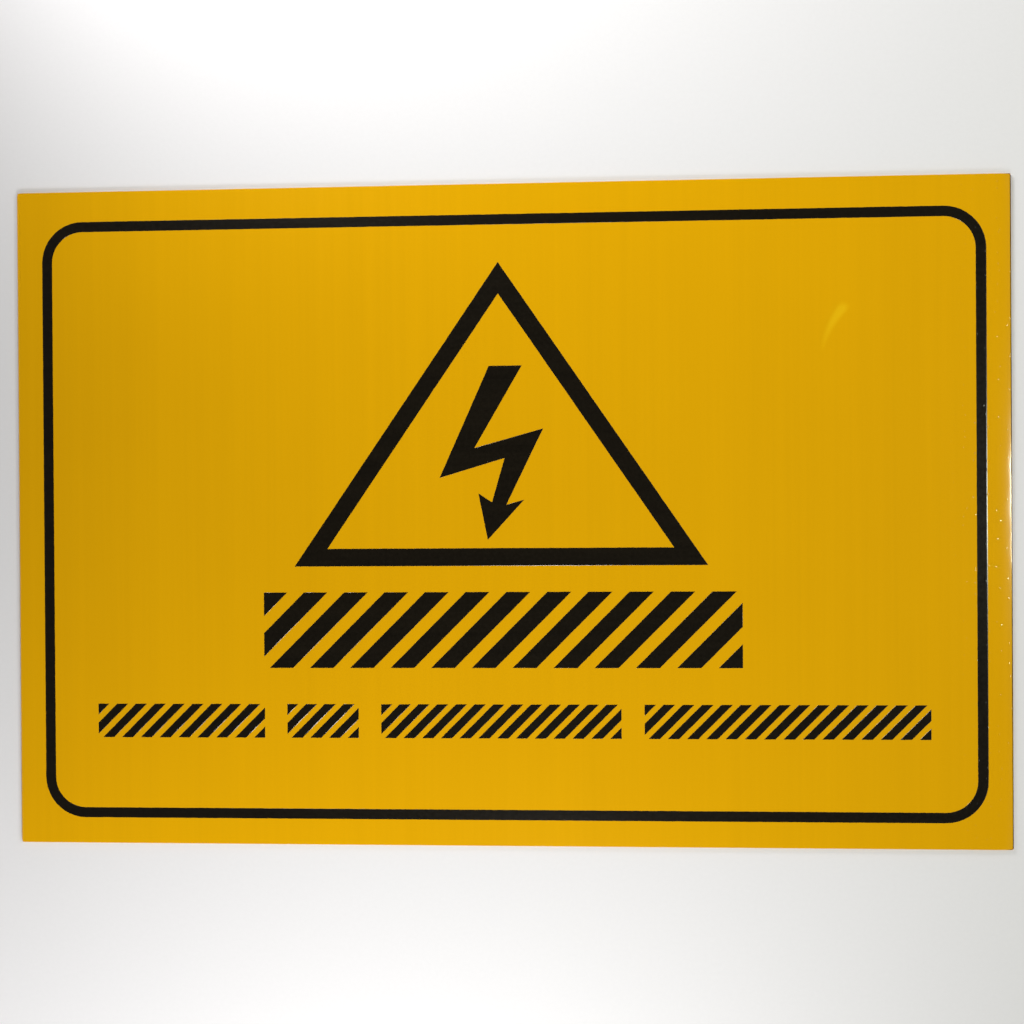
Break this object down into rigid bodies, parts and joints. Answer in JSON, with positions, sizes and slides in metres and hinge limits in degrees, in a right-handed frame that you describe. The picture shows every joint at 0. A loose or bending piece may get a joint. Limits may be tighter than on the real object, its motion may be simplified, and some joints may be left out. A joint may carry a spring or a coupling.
{
  "type": "high voltage warning sign",
  "caption": "Flat rectangular sign sheet printed with a round-cornered border, a triangle with a bolt arrow inside, and rows of diagonal stripes.",
  "frame": {"origin": "middle of the sheet's flat back face, which lies on the surface", "axes": "+X to the right along the long side, +Y to the picture's top, +Z out of the printed face"},
  "size_m": [0.3, 0.2, 0.001],
  "materials": {
    "yellow_plastic": "glossy",
    "black_ink": "semi-gloss"
  },
  "bodies": {
    "root": {"sign_plate": "yellow_plastic", "border_line": "black_ink", "warning_triangle": "black_ink", "bolt_arrow": "black_ink", "headline_stripes": "black_ink", "lower_stripes": "black_ink"}
  },
  "joints": []
}
